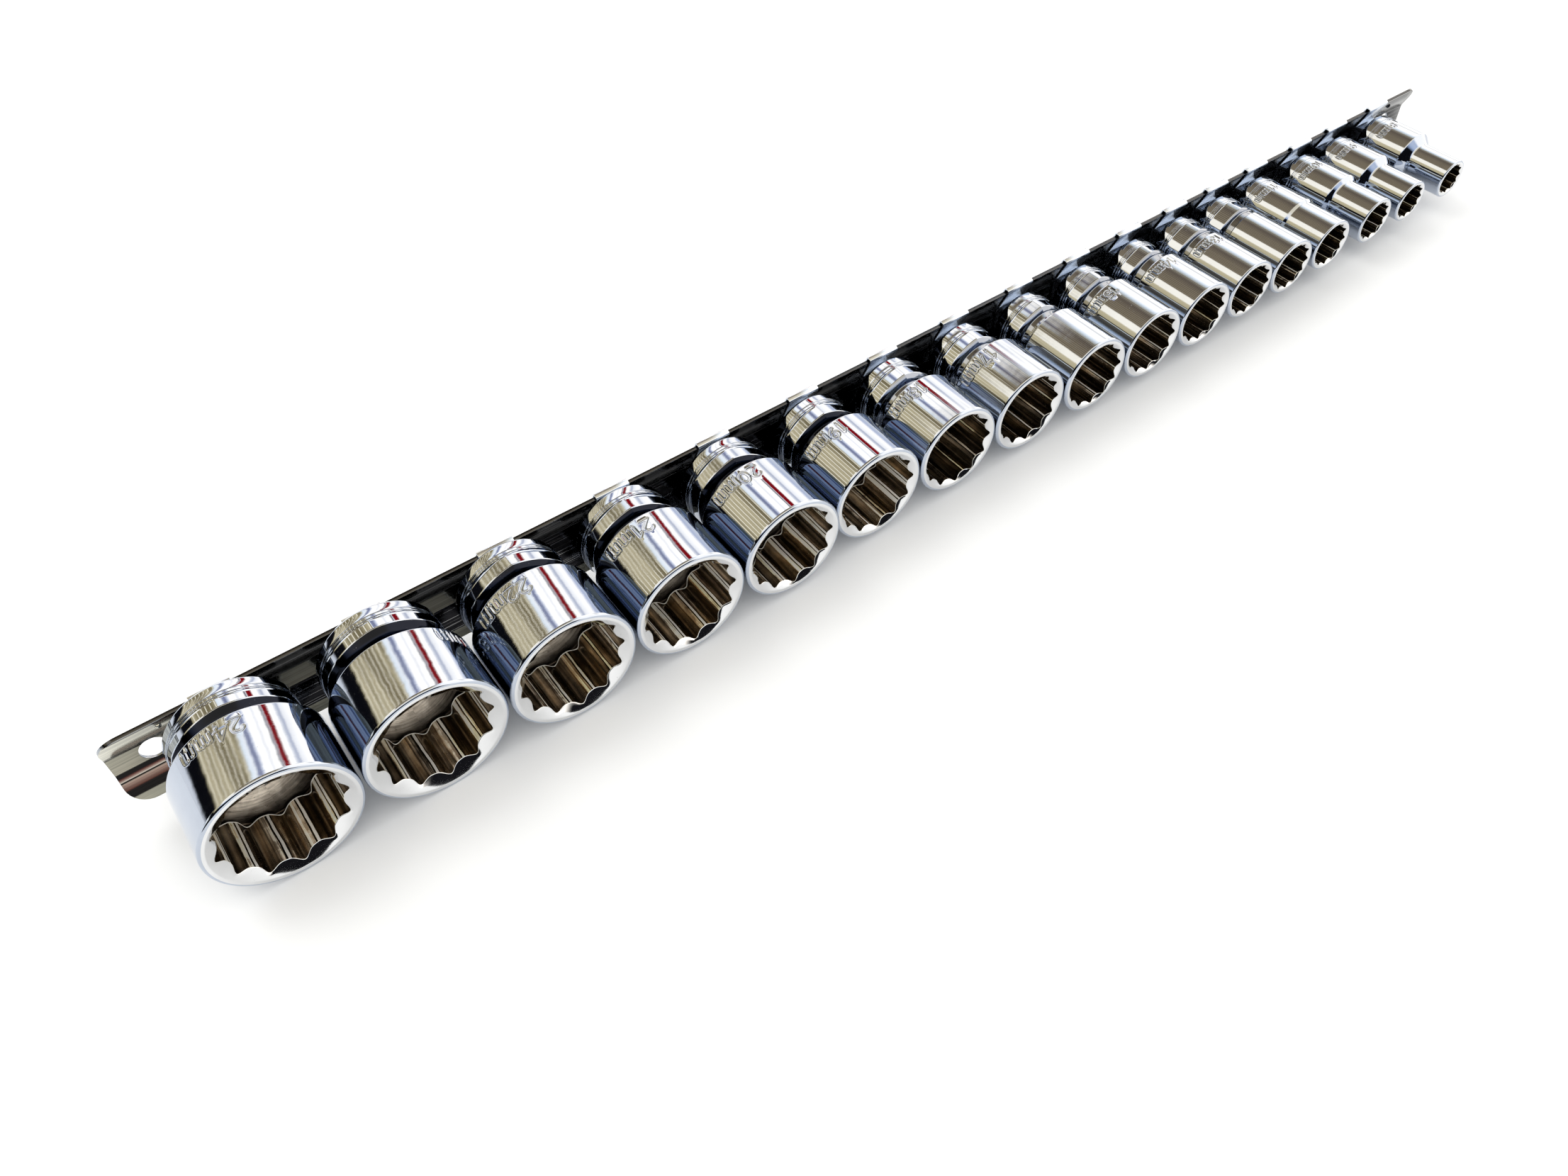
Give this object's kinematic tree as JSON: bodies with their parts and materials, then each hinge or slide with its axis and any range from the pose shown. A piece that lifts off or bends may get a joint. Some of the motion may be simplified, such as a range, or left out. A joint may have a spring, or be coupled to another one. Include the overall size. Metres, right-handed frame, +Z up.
{
  "type": "socket rail",
  "caption": "Sheet steel rail with sliding spring clips that hold a row of chrome twelve-point sockets by their square drives, for a drawer or a wall.",
  "frame": {"origin": "below the middle of the whole part, at the height of the lowest point of the largest socket", "axes": "+X along the rail from the largest socket to the smallest, +Y from the socket mouths back to the rail, +Z up"},
  "size_m": [0.4226, 0.037, 0.0332],
  "materials": {
    "rail_steel": "bright rolled steel, fine lengthwise lines",
    "clip_steel": "bright spring steel strip",
    "socket_chrome": "polished chrome outside, satin plated bore"
  },
  "bodies": {
    "rail": {"rail": "rail_steel"},
    "clip_24mm": {"clip_24mm": "clip_steel"},
    "socket_24mm": {"socket_24mm": "socket_chrome"},
    "clip_23mm": {"clip_23mm": "clip_steel"},
    "socket_23mm": {"socket_23mm": "socket_chrome"},
    "clip_22mm": {"clip_22mm": "clip_steel"},
    "socket_22mm": {"socket_22mm": "socket_chrome"},
    "clip_21mm": {"clip_21mm": "clip_steel"},
    "socket_21mm": {"socket_21mm": "socket_chrome"},
    "clip_20mm": {"clip_20mm": "clip_steel"},
    "socket_20mm": {"socket_20mm": "socket_chrome"},
    "clip_19mm": {"clip_19mm": "clip_steel"},
    "socket_19mm": {"socket_19mm": "socket_chrome"},
    "clip_18mm": {"clip_18mm": "clip_steel"},
    "socket_18mm": {"socket_18mm": "socket_chrome"},
    "clip_17mm": {"clip_17mm": "clip_steel"},
    "socket_17mm": {"socket_17mm": "socket_chrome"},
    "clip_16mm": {"clip_16mm": "clip_steel"},
    "socket_16mm": {"socket_16mm": "socket_chrome"},
    "clip_15mm": {"clip_15mm": "clip_steel"},
    "socket_15mm": {"socket_15mm": "socket_chrome"},
    "clip_14mm": {"clip_14mm": "clip_steel"},
    "socket_14mm": {"socket_14mm": "socket_chrome"},
    "clip_13mm": {"clip_13mm": "clip_steel"},
    "socket_13mm": {"socket_13mm": "socket_chrome"},
    "clip_12mm": {"clip_12mm": "clip_steel"},
    "socket_12mm": {"socket_12mm": "socket_chrome"},
    "clip_11mm": {"clip_11mm": "clip_steel"},
    "socket_11mm": {"socket_11mm": "socket_chrome"},
    "clip_10mm": {"clip_10mm": "clip_steel"},
    "socket_10mm": {"socket_10mm": "socket_chrome"},
    "clip_09mm": {"clip_09mm": "clip_steel"},
    "socket_09mm": {"socket_09mm": "socket_chrome"},
    "clip_08mm": {"clip_08mm": "clip_steel"},
    "socket_08mm": {"socket_08mm": "socket_chrome"}
  },
  "joints": [
    {"name": "clip_24mm_slide", "type": "slide", "parent": "rail", "child": "clip_24mm", "axis": [1, 0, 0], "range_m": [-0.006, 0.0002]},
    {"name": "socket_24mm_pull", "type": "slide", "parent": "clip_24mm", "child": "socket_24mm", "axis": [0, -1, 0], "range_m": [0, 0.045]},
    {"name": "clip_23mm_slide", "type": "slide", "parent": "rail", "child": "clip_23mm", "axis": [1, 0, 0], "range_m": [-0.0002, 0.00014]},
    {"name": "socket_23mm_pull", "type": "slide", "parent": "clip_23mm", "child": "socket_23mm", "axis": [0, -1, 0], "range_m": [0, 0.045]},
    {"name": "clip_22mm_slide", "type": "slide", "parent": "rail", "child": "clip_22mm", "axis": [1, 0, 0], "range_m": [-0.00014, 0.0002]},
    {"name": "socket_22mm_pull", "type": "slide", "parent": "clip_22mm", "child": "socket_22mm", "axis": [0, -1, 0], "range_m": [0, 0.045]},
    {"name": "clip_21mm_slide", "type": "slide", "parent": "rail", "child": "clip_21mm", "axis": [1, 0, 0], "range_m": [-0.0002, 0.00016]},
    {"name": "socket_21mm_pull", "type": "slide", "parent": "clip_21mm", "child": "socket_21mm", "axis": [0, -1, 0], "range_m": [0, 0.045]},
    {"name": "clip_20mm_slide", "type": "slide", "parent": "rail", "child": "clip_20mm", "axis": [1, 0, 0], "range_m": [-0.00016, 0.00016]},
    {"name": "socket_20mm_pull", "type": "slide", "parent": "clip_20mm", "child": "socket_20mm", "axis": [0, -1, 0], "range_m": [0, 0.045]},
    {"name": "clip_19mm_slide", "type": "slide", "parent": "rail", "child": "clip_19mm", "axis": [1, 0, 0], "range_m": [-0.00016, 0.00016]},
    {"name": "socket_19mm_pull", "type": "slide", "parent": "clip_19mm", "child": "socket_19mm", "axis": [0, -1, 0], "range_m": [0, 0.045]},
    {"name": "clip_18mm_slide", "type": "slide", "parent": "rail", "child": "clip_18mm", "axis": [1, 0, 0], "range_m": [-0.00016, 0.00016]},
    {"name": "socket_18mm_pull", "type": "slide", "parent": "clip_18mm", "child": "socket_18mm", "axis": [0, -1, 0], "range_m": [0, 0.045]},
    {"name": "clip_17mm_slide", "type": "slide", "parent": "rail", "child": "clip_17mm", "axis": [1, 0, 0], "range_m": [-0.00016, 0.00014]},
    {"name": "socket_17mm_pull", "type": "slide", "parent": "clip_17mm", "child": "socket_17mm", "axis": [0, -1, 0], "range_m": [0, 0.045]},
    {"name": "clip_16mm_slide", "type": "slide", "parent": "rail", "child": "clip_16mm", "axis": [1, 0, 0], "range_m": [-0.00014, 0.00014]},
    {"name": "socket_16mm_pull", "type": "slide", "parent": "clip_16mm", "child": "socket_16mm", "axis": [0, -1, 0], "range_m": [0, 0.045]},
    {"name": "clip_15mm_slide", "type": "slide", "parent": "rail", "child": "clip_15mm", "axis": [1, 0, 0], "range_m": [-0.00014, 0.00014]},
    {"name": "socket_15mm_pull", "type": "slide", "parent": "clip_15mm", "child": "socket_15mm", "axis": [0, -1, 0], "range_m": [0, 0.045]},
    {"name": "clip_14mm_slide", "type": "slide", "parent": "rail", "child": "clip_14mm", "axis": [1, 0, 0], "range_m": [-0.00014, 0.00014]},
    {"name": "socket_14mm_pull", "type": "slide", "parent": "clip_14mm", "child": "socket_14mm", "axis": [0, -1, 0], "range_m": [0, 0.045]},
    {"name": "clip_13mm_slide", "type": "slide", "parent": "rail", "child": "clip_13mm", "axis": [1, 0, 0], "range_m": [-0.00014, 0.00016]},
    {"name": "socket_13mm_pull", "type": "slide", "parent": "clip_13mm", "child": "socket_13mm", "axis": [0, -1, 0], "range_m": [0, 0.045]},
    {"name": "clip_12mm_slide", "type": "slide", "parent": "rail", "child": "clip_12mm", "axis": [1, 0, 0], "range_m": [-0.00016, 0.00032]},
    {"name": "socket_12mm_pull", "type": "slide", "parent": "clip_12mm", "child": "socket_12mm", "axis": [0, -1, 0], "range_m": [0, 0.045]},
    {"name": "clip_11mm_slide", "type": "slide", "parent": "rail", "child": "clip_11mm", "axis": [1, 0, 0], "range_m": [-0.00032, 0.00152]},
    {"name": "socket_11mm_pull", "type": "slide", "parent": "clip_11mm", "child": "socket_11mm", "axis": [0, -1, 0], "range_m": [0, 0.045]},
    {"name": "clip_10mm_slide", "type": "slide", "parent": "rail", "child": "clip_10mm", "axis": [1, 0, 0], "range_m": [-0.00152, 0.0002]},
    {"name": "socket_10mm_pull", "type": "slide", "parent": "clip_10mm", "child": "socket_10mm", "axis": [0, -1, 0], "range_m": [0, 0.045]},
    {"name": "clip_09mm_slide", "type": "slide", "parent": "rail", "child": "clip_09mm", "axis": [1, 0, 0], "range_m": [-0.0002, 0.00144]},
    {"name": "socket_09mm_pull", "type": "slide", "parent": "clip_09mm", "child": "socket_09mm", "axis": [0, -1, 0], "range_m": [0, 0.045]},
    {"name": "clip_08mm_slide", "type": "slide", "parent": "rail", "child": "clip_08mm", "axis": [1, 0, 0], "range_m": [-0.00144, 0.0034]},
    {"name": "socket_08mm_pull", "type": "slide", "parent": "clip_08mm", "child": "socket_08mm", "axis": [0, -1, 0], "range_m": [0, 0.045]}
  ]
}
